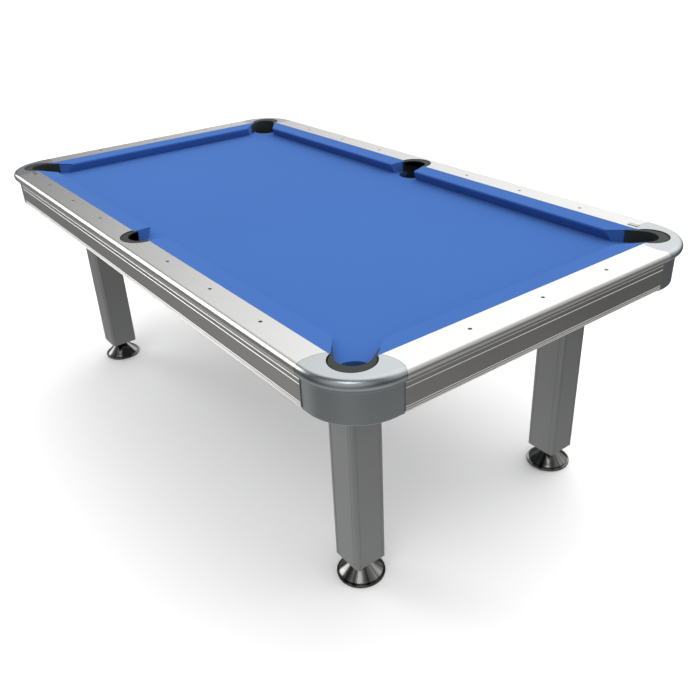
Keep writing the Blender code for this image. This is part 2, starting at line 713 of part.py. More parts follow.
def name_plates():
    length, width, thickness = NAME_PLATE
    low = RAIL_TOP + GAP
    for name, side in LONG_SIDES.items():
        x = side * (NOSE_X - NAME_PLATE_FROM_NOSE_CORNER)
        shape = box(length / 2, width / 2, low, low + thickness)
        node(f"name_plate_{name}", shape, NAME_PLATE_METAL, (x, side * (NOSE_Y + NAME_PLATE_OUT), 0))


for old in list(bpy.data.objects):
    bpy.data.objects.remove(old)

ALUMINIUM = material("satin anodised aluminium", 0.62, 0.62, 0.61, 0.38, 1.0)
CHROME = material("chromed steel", 0.80, 0.80, 0.80, 0.10, 1.0)
STEEL_BLACK = material("black powder coated steel", 0.02, 0.02, 0.02, 0.60, 0.0)
CLOTH_BLUE = material("blue billiard cloth", 0.06, 0.20, 0.55, 0.90, 0.0)
STONE = material("honed slate", 0.10, 0.11, 0.12, 0.80, 0.0)
POCKET_BLACK = material("moulded black rubber", 0.03, 0.03, 0.03, 0.65, 0.0)
NAME_PLATE_METAL = material("brushed name plate", 0.45, 0.45, 0.45, 0.30, 1.0)

slate_and_cloth()
cushions()
straight_pieces()
castings()
pockets()
frame_beams()
legs_and_feet()
name_plates()
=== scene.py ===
"""The looks of a seven-foot aluminium pool table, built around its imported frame.

Metres, +Z up, the table centred on the origin with +X along it. The front is -Y and the right is +X.
"Out" is a distance outwards from the line of the cushions' noses.
"""

import math

import bpy
from mathutils import Matrix, Vector


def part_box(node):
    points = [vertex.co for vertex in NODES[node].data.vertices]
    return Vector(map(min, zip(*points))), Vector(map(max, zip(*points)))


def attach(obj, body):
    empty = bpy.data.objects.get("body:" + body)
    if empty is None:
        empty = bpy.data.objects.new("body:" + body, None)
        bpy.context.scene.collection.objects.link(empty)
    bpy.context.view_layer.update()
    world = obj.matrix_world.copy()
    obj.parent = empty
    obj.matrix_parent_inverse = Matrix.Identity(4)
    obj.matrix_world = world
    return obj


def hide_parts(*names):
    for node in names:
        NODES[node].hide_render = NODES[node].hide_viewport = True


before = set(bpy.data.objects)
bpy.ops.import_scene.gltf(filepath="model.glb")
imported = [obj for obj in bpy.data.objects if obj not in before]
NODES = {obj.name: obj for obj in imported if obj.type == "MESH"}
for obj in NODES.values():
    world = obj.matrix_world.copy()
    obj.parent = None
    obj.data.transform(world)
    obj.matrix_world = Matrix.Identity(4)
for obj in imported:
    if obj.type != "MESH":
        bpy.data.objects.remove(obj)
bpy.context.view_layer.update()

# ---------------------------------------------------------------- places, read from the frame

NOSE_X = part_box("cushion_right_end")[0].x
NOSE_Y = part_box("cushion_back_right")[0].y
RAIL_LOW, RAIL_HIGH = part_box("rail_back")
RAIL_TOP = RAIL_HIGH.z
RAIL_INNER = RAIL_LOW.y - NOSE_Y
RAIL_OUTER = RAIL_HIGH.y - NOSE_Y
BED_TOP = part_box("bed_cloth")[1].z
BED_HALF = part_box("bed_cloth")[1]
CASTING_LOW, CASTING_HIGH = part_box("casting_back_right")
APRON_LOW, APRON_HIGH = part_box("apron_back")
FOOT_CENTRE = sum(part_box("foot_base_back_right"), Vector()) / 2
CORNERS = {
    "front_left": (-1, -1),
    "front_right": (1, -1),
    "back_left": (-1, 1),
    "back_right": (1, 1),
}
SIDES = {"front": (0, -1), "back": (0, 1), "left": (-1, 0), "right": (1, 0)}

# Sizes that the frame's boxes don't give, as the solids have them
WALL = 0.004
NOSE_RADIUS = 0.016
NOSE_TURNS = 14
RAIL_LIP = 0.026
SEAM_RADIUS = 0.090
SEAM_GAP = 0.0007
NOTCH_RADIUS = 0.061
NOTCH_OUT = 0.060
HOLE_OUT = 0.037
HOLE_RADIUS = 0.055
POCKET_GAP = 0.0018
CORNER_RADIUS = 0.155
SKIRT_INSET = 0.016
STEP_INSET = 0.012
STEP_HEIGHT = 0.007
STEP_ROUND = 0.0012
SKIRT_ROUND = 0.003
CORNER_BITE = 0.0452
SIDE_BITE = 0.0492
DROP_OUT = 0.025
SIDE_OUT = 0.050
CLOTH_THICKNESS = 0.0005
CLOTH_TURN_DOWN = 0.016
CLOTH_EDGE_ROUND = 0.0015
SIGHT_OUT_LONG = 0.091
SIGHT_OUT_SHORT = 0.103
SIGHT_RADIUS = 0.005
SIGHT_DEPTH = 0.0025
SIGHT_RIM = 0.0006
LEG_ROUND = 0.008
GROOVE_FROM_EDGE = 0.014
GROOVE_WIDTH = 0.002
GROOVE_DEPTH = 0.001
FOOT_PAD = 0.0042
FOOT_CONE_RIM = 0.004
FOOT_CONE_TOP = 0.060
FOOT_NECK_RADIUS = 0.016
FOOT_NECK_TOP = 0.067
FOOT_STEM_RADIUS = 0.008

# Sides of a full circle, and how far a cutting tool runs past what it cuts
ROUND = 96
PAST = 0.01

# ---------------------------------------------------------------- modelling helpers


def use(piece):
    """Makes one piece the only one selected, and the active one."""
    bpy.ops.object.select_all(action="DESELECT")
    piece.select_set(True)
    bpy.context.view_layer.objects.active = piece


def settled(piece):
    """Puts a piece's place into its mesh, so that its object sits at the origin."""
    use(piece)
    bpy.ops.object.transform_apply(location=True, rotation=True, scale=True)
    return piece


def block(low, high, name="block"):
    low, high = Vector(low), Vector(high)
    bpy.ops.mesh.primitive_cube_add(size=1, location=(low + high) / 2, scale=high - low)
    piece = bpy.context.object
    piece.name = name
    return settled(piece)


def rod(centre, radius, low, high, vertices=ROUND, name="rod"):
    place = (centre[0], centre[1], (low + high) / 2)
    bpy.ops.mesh.primitive_cylinder_add(vertices=vertices, radius=radius, depth=high - low, location=place)
    piece = bpy.context.object
    piece.name = name
    return settled(piece)


def modified(piece, kind, **settings):
    """Adds a modifier and applies it."""
    use(piece)
    modifier = piece.modifiers.new(kind.lower(), kind)
    for key, value in settings.items():
        setattr(modifier, key, value)
    bpy.ops.object.modifier_apply(modifier=modifier.name)
    return piece


def joined(piece, tool, operation="DIFFERENCE"):
    """Cuts, unites or intersects a piece with a tool, and removes the tool."""
    modified(piece, "BOOLEAN", operation=operation, object=tool, solver="EXACT")
    bpy.data.objects.remove(tool)
    return piece


def bevel_edges(piece, test, width, segments):
    """Rounds the edges whose middle and direction pass the test."""
    mesh = piece.data
    use(piece)
    for part in (mesh.polygons, mesh.edges, mesh.vertices):
        part.foreach_set("select", [False] * len(part))
    for edge in mesh.edges:
        start, end = (mesh.vertices[i].co for i in edge.vertices)
        edge.select = test((start + end) / 2, (end - start).normalized())
    bpy.ops.object.mode_set(mode="EDIT")
    bpy.ops.mesh.select_mode(type="EDGE")
    bpy.ops.mesh.bevel(offset=width, segments=segments, affect="EDGES")
    bpy.ops.object.mode_set(mode="OBJECT")
    return piece


def softened(piece, width, segments=2, angle=40):
    """Breaks every edge sharper than the angle by a small round."""
    limit = math.radians(angle)
    return modified(piece, "BEVEL", width=width, segments=segments, limit_method="ANGLE", angle_limit=limit)


def smooth(piece, angle=35):
    """Smooth shading that leaves the large flat faces flat."""
    use(piece)
    bpy.ops.object.shade_smooth_by_angle(angle=math.radians(angle))
    return modified(piece, "WEIGHTED_NORMAL", weight=100, keep_sharp=True)


def cleaned(piece):
    """Merges doubles, drops the flat edges between coplanar triangles and turns the faces outwards."""
    use(piece)
    bpy.ops.object.mode_set(mode="EDIT")
    bpy.ops.mesh.select_all(action="SELECT")
    bpy.ops.mesh.remove_doubles(threshold=0.00002)
    bpy.ops.mesh.dissolve_limited(angle_limit=math.radians(0.5))
    bpy.ops.mesh.normals_make_consistent(inside=False)
    bpy.ops.object.mode_set(mode="OBJECT")
    return piece


def copy_of(source, name):
    piece = source.copy()
    piece.data = source.data.copy()
    piece.name = name
    piece.parent = None
    for key in list(piece.keys()):
        del piece[key]
    bpy.context.scene.collection.objects.link(piece)
    return piece


def mirrored(source, name, side_x, side_y):
    """A copy of a piece modelled at +X +Y, for the corner or side with these signs."""
    piece = copy_of(source, name)
    piece.data.transform(Matrix.Diagonal((side_x or 1, side_y or 1, 1, 1)))
    use(piece)
    if (side_x or 1) * (side_y or 1) < 0:
        bpy.ops.object.mode_set(mode="EDIT")
        bpy.ops.mesh.select_all(action="SELECT")
        bpy.ops.mesh.flip_normals()
        bpy.ops.object.mode_set(mode="OBJECT")
    return piece


def turned(profile, name="turned", vertices=ROUND):
    """A round piece: a disc, then one extrusion for each further (radius, height)."""
    radius, height = profile[0]
    place = (0, 0, height)
    bpy.ops.mesh.primitive_circle_add(vertices=vertices, radius=radius, fill_type="NGON", location=place)
    piece = settled(bpy.context.object)
    piece.name = name
    bpy.ops.object.mode_set(mode="EDIT")
    bpy.ops.mesh.select_all(action="SELECT")
    for wide, high in profile[1:]:
        bpy.ops.mesh.extrude_region()
        bpy.ops.transform.resize(value=(wide / radius, wide / radius, 1))
        bpy.ops.transform.translate(value=(0, 0, high - height))
        radius, height = wide, high
    bpy.ops.mesh.select_all(action="SELECT")
    bpy.ops.mesh.normals_make_consistent(inside=False)
    bpy.ops.object.mode_set(mode="OBJECT")
    return piece


def finish_piece(piece, material, body="table", stands_for=None):
    piece.data.materials.clear()
    piece.data.materials.append(material)
    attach(piece, body)
    if stands_for:
        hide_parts(stands_for)
    return piece


# ---------------------------------------------------------------- materials


def linear(colour):
    """An sRGB hex colour as linear RGBA."""
    parts = [int(colour[i : i + 2], 16) / 255 for i in (1, 3, 5)]
    return [p / 12.92 if p <= 0.04045 else ((p + 0.055) / 1.055) ** 2.4 for p in parts] + [1]


def add(tree, kind, settings=None, inputs=None):
    """Adds a node with its settings; each input is a value or another node's output."""
    made = tree.nodes.new(kind)
    for key, value in (settings or {}).items():
        setattr(made, key, value)
    for key, value in (inputs or {}).items():
        if isinstance(value, bpy.types.NodeSocket):
            tree.links.new(value, made.inputs[key])
        else:
            made.inputs[key].default_value = value
    return made


def new_material(name, **inputs):
    """A Principled material with these values on the shader's own sockets."""
    material = bpy.data.materials.new(name)
    material.use_nodes = True
    shader = material.node_tree.nodes["Principled BSDF"]
    for key, value in inputs.items():
        shader.inputs[key.replace("_", " ")].default_value = value
    return material, material.node_tree, shader


def mapped(tree, scale):
    """Object coordinates in metres, stretched by this scale."""
    place = add(tree, "ShaderNodeTexCoord").outputs["Object"]
    return add(tree, "ShaderNodeMapping", None, {"Vector": place, "Scale": scale}).outputs["Vector"]


def noise(tree, scale, size, detail):
    """Smooth noise in a stretched space: its grain is 1 / size there."""
    inputs = {"Vector": mapped(tree, scale), "Scale": size, "Detail": detail}
    return add(tree, "ShaderNodeTexNoise", None, inputs).outputs["Fac"]


def even(grain):
    """The same scale on all three axes, for a grain of this size in metres."""
    return (1 / grain, 1 / grain, 1 / grain)


def two_tone(tree, factor, dark, light):
    """A colour between two, by a factor. Each is a hex colour or another node's output."""
    colours = [linear(colour) if isinstance(colour, str) else colour for colour in (dark, light)]
    inputs = {"Factor": factor, "A": colours[0], "B": colours[1]}
    return add(tree, "ShaderNodeMix", {"data_type": "RGBA"}, inputs).outputs["Result"]


def spread(tree, value, between, onto):
    """Maps a value from one pair of limits onto another."""
    inputs = {"Value": value, "From Min": between[0], "From Max": between[1]}
    inputs |= {"To Min": onto[0], "To Max": onto[1]}
    return add(tree, "ShaderNodeMapRange", None, inputs).outputs["Result"]


def raised(tree, shader, height, strength, distance):
    """Fine relief on the shader's normal, of this depth in metres."""
    inputs = {"Height": height, "Strength": strength, "Distance": distance}
    bump = add(tree, "ShaderNodeBump", None, inputs)
    tree.links.new(bump.outputs["Normal"], shader.inputs["Normal"])


def anodised(name, colour, shade, along, roughness, die_lines=0.03):
    """Satin anodised aluminium, extruded: faint die lines along the length and a soft cloudy tone."""
    material, tree, shader = new_material(name, Metallic=1.0)
    line_gap, line_length = 0.0008, 0.25
    across, lengthways = 1 / line_gap, 1 / line_length
    scales = {
        "x": (lengthways, across, across),
        "y": (across, lengthways, across),
        "z": (across, across, lengthways),
    }
    lines = noise(tree, scales[along], 1.0, 3.0)
    cloud = noise(tree, (1, 1, 1), 5.0, 2.0)
    tree.links.new(two_tone(tree, cloud, shade, colour), shader.inputs["Base Color"])
    rough = spread(tree, lines, (0.3, 0.7), (roughness - 0.01, roughness + 0.02))
    tree.links.new(rough, shader.inputs["Roughness"])
    raised(tree, shader, lines, die_lines, 0.00002)
    return material


def billiard_cloth():
    """Worsted wool and nylon, woven fine and shorn short: matte, with a faint nap and a fine weave."""
    material, tree, shader = new_material(
        "worsted_billiard_cloth", Roughness=0.95, Sheen_Weight=0.03, Sheen_Roughness=0.5
    )
    shader.inputs["Specular IOR Level"].default_value = 0.08
    thread = 0.0012  # the real thread is about 0.4 mm, drawn coarser so that it shows
    weave = noise(tree, even(thread), 1.0, 2.0)
    nap = noise(tree, (1, 1, 1), 1.6, 3.0)
    patches = two_tone(tree, nap, "#345A9A", "#3A62A6")
    tree.links.new(two_tone(tree, weave, patches, "#3E68AC"), shader.inputs["Base Color"])
    raised(tree, shader, weave, 0.25, 0.0004)
    return material


def grained(name, colour, shade, grain, roughness, strength, **inputs):
    """A matte finish with a grain of a real size, such as moulded rubber, powder coat or honed stone."""
    material, tree, shader = new_material(name, Roughness=roughness, **inputs)
    speck = noise(tree, even(grain), 1.0, 3.0)
    tree.links.new(two_tone(tree, speck, shade, colour), shader.inputs["Base Color"])
    raised(tree, shader, speck, strength, grain / 2)
    return material


def chrome_plate():
    """Polished chrome on a spun foot: its base colour is painted dark, with painted reflection streaks, light
    and dark, that fan out from its middle.
    """
    material, tree, shader = new_material("chrome_plated_steel", Metallic=1.0)
    foot = Vector((FOOT_CENTRE.x, FOOT_CENTRE.y, 0))
    place = add(tree, "ShaderNodeTexCoord").outputs["Object"]

    def vector(operation, *inputs):
        made = add(tree, "ShaderNodeVectorMath", {"operation": operation}, dict(enumerate(inputs)))
        return made.outputs[0]

    from_middle = vector("SUBTRACT", vector("ABSOLUTE", place), foot)
    spoke = vector("NORMALIZE", vector("MULTIPLY", from_middle, (1, 1, 0)))
    inputs = {"Vector": spoke, "Scale": 4.0, "Detail": 5.0}
    reflection_streaks = add(tree, "ShaderNodeTexNoise", None, inputs).outputs["Fac"]
    streak_tone = spread(tree, reflection_streaks, (0.35, 0.65), (0.0, 1.0))
    # Painted reflection streaks: the base colour runs from dark to light along them
    tree.links.new(two_tone(tree, streak_tone, "#4A4B49", "#A6A7A4"), shader.inputs["Base Color"])
    rough = spread(tree, reflection_streaks, (0.35, 0.65), (0.12, 0.24))
    tree.links.new(rough, shader.inputs["Roughness"])
    return material


# Clear satin anodising on the rails, whose die lines run along each
ALUMINIUM_X = anodised("satin_anodised_aluminium_long", "#EAEAE8", "#E0E0DD", "x", 0.27)
# The short rails carry a painted highlight: their tone is painted lighter than the long rails', though both
# are the same metal
ALUMINIUM_Y_PAINTED_LIGHTER = anodised("satin_anodised_aluminium_short_painted_lighter", "#F2F2F0", "#EAEAE8", "y", 0.27)
# The same on the aprons, their tone painted a shade darker than the rails': painted shade for the dim room
# their sides mirror
APRON_X = anodised("satin_anodised_apron_long", "#D4D3D0", "#C8C7C4", "x", 0.29)
APRON_Y = anodised("satin_anodised_apron_short", "#D4D3D0", "#C8C7C4", "y", 0.29)
# Satin cast aluminium: a cooler grey, with no die lines
CAST = anodised("satin_cast_aluminium", "#C8CDD0", "#BEC3C6", "z", 0.27, 0.0)
# Satin anodised square tube, whose lines run up the leg
LEG_METAL = anodised("satin_anodised_leg", "#D6D7D7", "#CBCCCC", "z", 0.36)
# Blue cloth on the bed and the cushions
CLOTH = billiard_cloth()
# Black rubber of the pocket liners and cups, with a fine moulded grain
RUBBER = grained("moulded_pocket_rubber", "#2F3330", "#272B28", 0.0012, 0.60, 0.12, Specular_IOR_Level=0.3)
# Slate, honed flat
SLATE = grained("honed_slate", "#4A4D50", "#3C3F42", 0.003, 0.75, 0.2)
# Black powder coat on the frame's beams and plates
POWDER = grained("black_powder_coat", "#1C1D1E", "#141516", 0.0008, 0.5, 0.2)
# Black inlay of the sights, and the feet's pads
BLACK_INLAY = grained("black_sight_inlay", "#0A0A0A", "#060606", 0.0006, 0.35, 0.05)
# Brushed plate, blank
PLATE_METAL = anodised("brushed_name_plate", "#C8C8C6", "#B4B4B2", "x", 0.25)
# Chrome on the levelling feet, painted dark and streaked with painted reflections
CHROME = chrome_plate()

# ---------------------------------------------------------------- bed


def bed_slab(low, high, grow, bite_shrink):
    """The bed's outline as a slab: a rectangle with six pocket bites that open straight outwards."""
    half_x, half_y = BED_HALF.x + grow, BED_HALF.y + grow
    slab = block((-half_x, -half_y, low), (half_x, half_y, high), "slab")
    far = 0.2
    for side_x, side_y in CORNERS.values():
        radius = CORNER_BITE - bite_shrink
        corner_x, corner_y = NOSE_X + DROP_OUT, NOSE_Y + DROP_OUT
        joined(slab, rod((side_x * corner_x, side_y * corner_y), radius, low - PAST, high + PAST))
        reach = radius * math.sqrt(0.5)
        low_x, low_y = corner_x - reach, corner_y - reach
        for from_x, from_y in ((low_x, corner_y + reach), (corner_x + reach, low_y)):
            ends = [(side_x * from_x, side_y * from_y), (side_x * (from_x + far), side_y * (from_y + far))]
            joined(slab, upright(ends, low - PAST, high + PAST))
    for side_y in (-1, 1):
        radius = SIDE_BITE - bite_shrink
        centre_y = NOSE_Y + SIDE_OUT
        joined(slab, rod((0, side_y * centre_y), radius, low - PAST, high + PAST))
        ends = [(-radius, side_y * centre_y), (radius, side_y * (centre_y + far))]
        joined(slab, upright(ends, low - PAST, high + PAST))
    return slab


def upright(ends, low, high):
    """A block between two opposite corners in plan."""
    xs, ys = sorted(x for x, _ in ends), sorted(y for _, y in ends)
    return block((xs[0], ys[0], low), (xs[1], ys[1], high))


def bed_cloth():
    """The cloth, stretched over the slate and turned down over its edges and into the pockets."""
    low = BED_TOP - CLOTH_TURN_DOWN
    cloth = bed_slab(low, BED_TOP, 0.0009, 0)
    under = bed_slab(low - 0.005, BED_TOP - CLOTH_THICKNESS, 0.0004, -0.0005)
    joined(cloth, under)
    cloth.name = "cloth_on_bed"
    bevel_edges(
        cloth,
        lambda middle, way: middle.z > BED_TOP - 0.00001 and abs(way.z) < 0.1,
        CLOTH_EDGE_ROUND,
        3,
    )
    finish_piece(smooth(cloth), CLOTH, stands_for="bed_cloth")
    return cloth


# ---------------------------------------------------------------- cushions


def cushions():
    """Each cushion as a padded, cloth-covered bar with a round nose."""
    for name in [n for n in NODES if n.startswith("cushion_")]:
        pad = cleaned(copy_of(NODES[name], name.replace("cushion_", "cloth_cushion_")))
        low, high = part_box(name)
        long_way = "x" if high.x - low.x > high.y - low.y else "y"

        def nose(middle, way, long_way=long_way):
            out = abs(middle.y) - NOSE_Y if long_way == "x" else abs(middle.x) - NOSE_X
            return abs(getattr(way, long_way)) > 0.99 and out < 0.003

        bevel_edges(pad, nose, 0.0018, 4)
        softened(pad, 0.0008, 3, 35)
        finish_piece(smooth(pad), CLOTH, stands_for=name)


# ---------------------------------------------------------------- rails


def rail_bar(half_length, along_x):
    """A rail with a flat top, a round outer nose and an open hollow underneath, on the +Y or the +X side."""
    nose_line = NOSE_Y if along_x else NOSE_X

    def place(along, out, height):
        return (along, nose_line + out, height) if along_x else (nose_line + out, along, height)

    far = half_length + PAST
    bottom = RAIL_TOP - 2 * NOSE_RADIUS
    bar = block(place(-half_length, RAIL_INNER, bottom), place(half_length, RAIL_OUTER, RAIL_TOP))

    def outer_edge(middle, way):
        out = (middle.y if along_x else middle.x) - nose_line
        return out > RAIL_OUTER - 0.001 and abs(way.x if along_x else way.y) > 0.9

    bevel_edges(bar, outer_edge, NOSE_RADIUS - 0.00005, NOSE_TURNS)
    web_low = BED_TOP + 0.0003
    web = block(
        place(-half_length, RAIL_INNER, web_low),
        place(half_length, RAIL_INNER + WALL, RAIL_TOP - WALL / 2),
    )
    lip_start = RAIL_OUTER - NOSE_RADIUS - RAIL_LIP
    joined(bar, block(place(-far, RAIL_INNER + WALL, 0), place(far, lip_start, RAIL_TOP - WALL)))
    channel = block(
        place(-far, RAIL_INNER + WALL + 0.001, bottom + WALL),
        place(far, RAIL_OUTER - WALL, RAIL_TOP - WALL),
    )

    def channel_edge(middle, way):
        out = (middle.y if along_x else middle.x) - nose_line
        return out > RAIL_OUTER - WALL - 0.001 and abs(way.x if along_x else way.y) > 0.9

    bevel_edges(channel, channel_edge, NOSE_RADIUS - WALL - 0.00005, 8)
    joined(bar, channel)
    joined(bar, web, "UNION")
    return bar


def seam_tool(end, along_x):
    """The casting's round end, a little larger, which clears the end of a rail."""
    start = CASTING_LOW.x if along_x else CASTING_LOW.y
    along = end * (start + SEAM_RADIUS)
    middle = (RAIL_INNER + RAIL_OUTER) / 2
    centre = (along, NOSE_Y + middle) if along_x else (NOSE_X + middle, along)
    return rod(centre, SEAM_RADIUS + SEAM_GAP, 0, 2 * RAIL_TOP, 2 * ROUND)


def sight_places():
    """Three sights between each two pockets, in the plan of the +Y and +X rails."""
    pitch = 2 * NOSE_X / 8
    long_rail = [(n * pitch, NOSE_Y + SIGHT_OUT_LONG) for n in (-3, -2, -1, 1, 2, 3)]
    short_rail = [(NOSE_X + SIGHT_OUT_SHORT, n * pitch) for n in (-1, 0, 1)]
    return long_rail, short_rail


def rails():
    """The four rails, each with its sights."""
    long_sights, short_sights = sight_places()
    long_rail = rail_bar(NOSE_X, True)
    short_rail = rail_bar(NOSE_Y, False)
    for end in (-1, 1):
        joined(long_rail, seam_tool(end, True))
        joined(short_rail, seam_tool(end, False))
    joined(long_rail, rod((0, NOSE_Y + NOTCH_OUT), NOTCH_RADIUS + POCKET_GAP, 0, 2 * RAIL_TOP))
    for rail, places in ((long_rail, long_sights), (short_rail, short_sights)):
        for place in places:
            seat = rod(place, SIGHT_RADIUS + SIGHT_RIM / 4, RAIL_TOP - SIGHT_DEPTH, RAIL_TOP + PAST, 24)
            joined(rail, seat)
        softened(rail, 0.0004, 2)
    sight = turned(
        [
            (SIGHT_RADIUS - 0.0004, RAIL_TOP - SIGHT_DEPTH + 0.0001),
            (SIGHT_RADIUS, RAIL_TOP - SIGHT_DEPTH + 0.0005),
            (SIGHT_RADIUS, RAIL_TOP - 0.0002),
            (SIGHT_RADIUS - 0.0006, RAIL_TOP + 0.0001),
            (SIGHT_RADIUS / 3, RAIL_TOP + 0.0002),
        ],
        "sight",
        24,
    )
    for name, (side_x, side_y) in SIDES.items():
        source, metal, places = (
            (long_rail, ALUMINIUM_X, long_sights) if side_y else (short_rail, ALUMINIUM_Y_PAINTED_LIGHTER, short_sights)
        )
        rail = mirrored(source, f"metal_rail_{name}", side_x, side_y)
        finish_piece(smooth(rail), metal, stands_for=f"rail_{name}")
        for count, (x, y) in enumerate(places, 1):
            dot = copy_of(sight, f"sight_{name}_{count}")
            dot.data.transform(Matrix.Translation((x * (side_x or 1), y * (side_y or 1), 0)))
            finish_piece(smooth(dot), BLACK_INLAY)
    for spare in (long_rail, short_rail, sight):
        bpy.data.objects.remove(spare)


# ---------------------------------------------------------------- corner castings


def corner_block(inset, low, high):
    """The corner's footprint as a block, with its outer corner rounded."""
    outer = (CASTING_HIGH.x - inset, CASTING_HIGH.y - inset)
    start = (CASTING_LOW.x - 0.03, CASTING_LOW.y - 0.03)
    piece = block((start[0], start[1], low), (outer[0], outer[1], high))

    def corner_edge(middle, way):
        return abs(way.z) > 0.9 and middle.x > outer[0] - 0.001 and middle.y > outer[1] - 0.001

    return bevel_edges(piece, corner_edge, CORNER_RADIUS - inset, 32)


def outer_rim(height, inset):
    """Picks the edges of a corner block's outer outline at one height."""
    limit_x, limit_y = CASTING_HIGH.x - inset, CASTING_HIGH.y - inset
    centre = (CASTING_HIGH.x - CORNER_RADIUS, CASTING_HIGH.y - CORNER_RADIUS)

    def test(middle, way):
        if abs(middle.z - height) > 0.00002 or abs(way.z) > 0.1:
            return False
        if middle.x > centre[0] and middle.y > centre[1]:
            return math.hypot(middle.x - centre[0], middle.y - centre[1]) > CORNER_RADIUS - inset - 0.001
        return middle.x > limit_x - 0.0001 or middle.y > limit_y - 0.0001

    return test


def casting_keep():
    """Where the casting may be: the corner square with its two round ends."""
    low, high = 0, 2 * RAIL_TOP
    half = (RAIL_OUTER - RAIL_INNER) / 2
    edge = CASTING_LOW.x + SEAM_RADIUS - math.sqrt(SEAM_RADIUS**2 - half**2) - NOSE_X
    far = 0.3
    keep = block((NOSE_X + edge, NOSE_Y + edge, low), (NOSE_X + far, NOSE_Y + far, high))
    middle = (RAIL_INNER + RAIL_OUTER) / 2
    long_end = (CASTING_LOW.x + SEAM_RADIUS, NOSE_Y + middle)
    short_end = (NOSE_X + middle, CASTING_LOW.y + SEAM_RADIUS)
    for centre in (long_end, short_end):
        joined(keep, rod(centre, SEAM_RADIUS, low, high, 2 * ROUND), "UNION")
    near = (NOSE_X - far, NOSE_Y - far, low - 1)
    joined(keep, block(near, (NOSE_X + RAIL_INNER, NOSE_Y + RAIL_INNER, high + 1)))
    return keep


def corner_casting():
    """A round-nosed plate, a fine step below it and a skirt, hollow from below, with the pocket's hole."""
    bottom = RAIL_TOP - 2 * NOSE_RADIUS
    nose = corner_block(0, bottom, RAIL_TOP)
    for height in (bottom, RAIL_TOP):
        bevel_edges(nose, outer_rim(height, 0), NOSE_RADIUS - 0.0001, 10)
    step = corner_block(STEP_INSET, bottom - STEP_HEIGHT, bottom + 0.004)
    bevel_edges(step, outer_rim(bottom - STEP_HEIGHT, STEP_INSET), STEP_ROUND, 3)
    skirt = corner_block(SKIRT_INSET, CASTING_LOW.z, bottom + 0.003)
    bevel_edges(skirt, outer_rim(CASTING_LOW.z, SKIRT_INSET), SKIRT_ROUND, 5)
    body = joined(nose, step, "UNION")
    joined(body, skirt, "UNION")
    hollow = corner_block(SKIRT_INSET + 0.005, 0.5, RAIL_TOP - WALL)
    joined(body, hollow)
    hole_centre = (NOSE_X + HOLE_OUT, NOSE_Y + HOLE_OUT)
    joined(body, rod(hole_centre, HOLE_RADIUS + POCKET_GAP, 0, 2 * RAIL_TOP))
    joined(body, casting_keep(), "INTERSECT")
    return cleaned(body)


def castings():
    """The four corners, from one casting."""
    body = corner_casting()
    softened(body, 0.0005, 2)
    for name, (side_x, side_y) in CORNERS.items():
        piece = mirrored(body, f"corner_{name}", side_x, side_y)
        finish_piece(smooth(piece), CAST, stands_for=f"casting_{name}")
    bpy.data.objects.remove(body)


# ---------------------------------------------------------------- pieces refined from the frame's own solids


def refined(node, material, width):
    """A node's own solid with its edges broken, which stands for the node."""
    piece = cleaned(copy_of(NODES[node], f"fine_{node}"))
    softened(piece, width)
    return finish_piece(smooth(piece), material, stands_for=node)


def aprons_and_pockets():
    for name, (_, side_y) in SIDES.items():
        refined(f"apron_{name}", APRON_X if side_y else APRON_Y, 0.0003)
    for name in [n for n in NODES if n.startswith("pocket_liner_")]:
        refined(name, RUBBER, 0.0008)
    for name in [n for n in NODES if n.startswith("pocket_cup_")]:
        refined(name, RUBBER, 0.0006)
    for name in ("name_plate_front", "name_plate_back"):
        refined(name, PLATE_METAL, 0.0003)


# ---------------------------------------------------------------- legs and feet


def legs():
    """Square tube with round corners, and a fine groove beside each corner."""
    low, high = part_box("leg_back_right")
    side = high.x - low.x
    centre = (low + high) / 2
    leg = block(low, high, "leg")
    bevel_edges(leg, lambda middle, way: abs(way.z) > 0.9, LEG_ROUND, 8)
    for turn in range(4):
        for across in (-1, 1):
            offset = across * (side / 2 - GROOVE_FROM_EDGE)
            tool = block(
                (side / 2 - GROOVE_DEPTH, offset - GROOVE_WIDTH / 2, low.z - PAST),
                (side / 2 + PAST, offset + GROOVE_WIDTH / 2, high.z + PAST),
            )
            tool.data.transform(Matrix.Rotation(turn * math.pi / 2, 4, "Z"))
            tool.data.transform(Matrix.Translation((centre.x, centre.y, 0)))
            joined(leg, tool)
    inner = Vector((WALL, WALL, -PAST))
    joined(leg, block(low + inner, high - inner))
    softened(leg, 0.0004, 2, 25)
    for name, (side_x, side_y) in CORNERS.items():
        piece = mirrored(leg, f"square_leg_{name}", side_x, side_y)
        finish_piece(smooth(piece), LEG_METAL, stands_for=f"leg_{name}")
    bpy.data.objects.remove(leg)


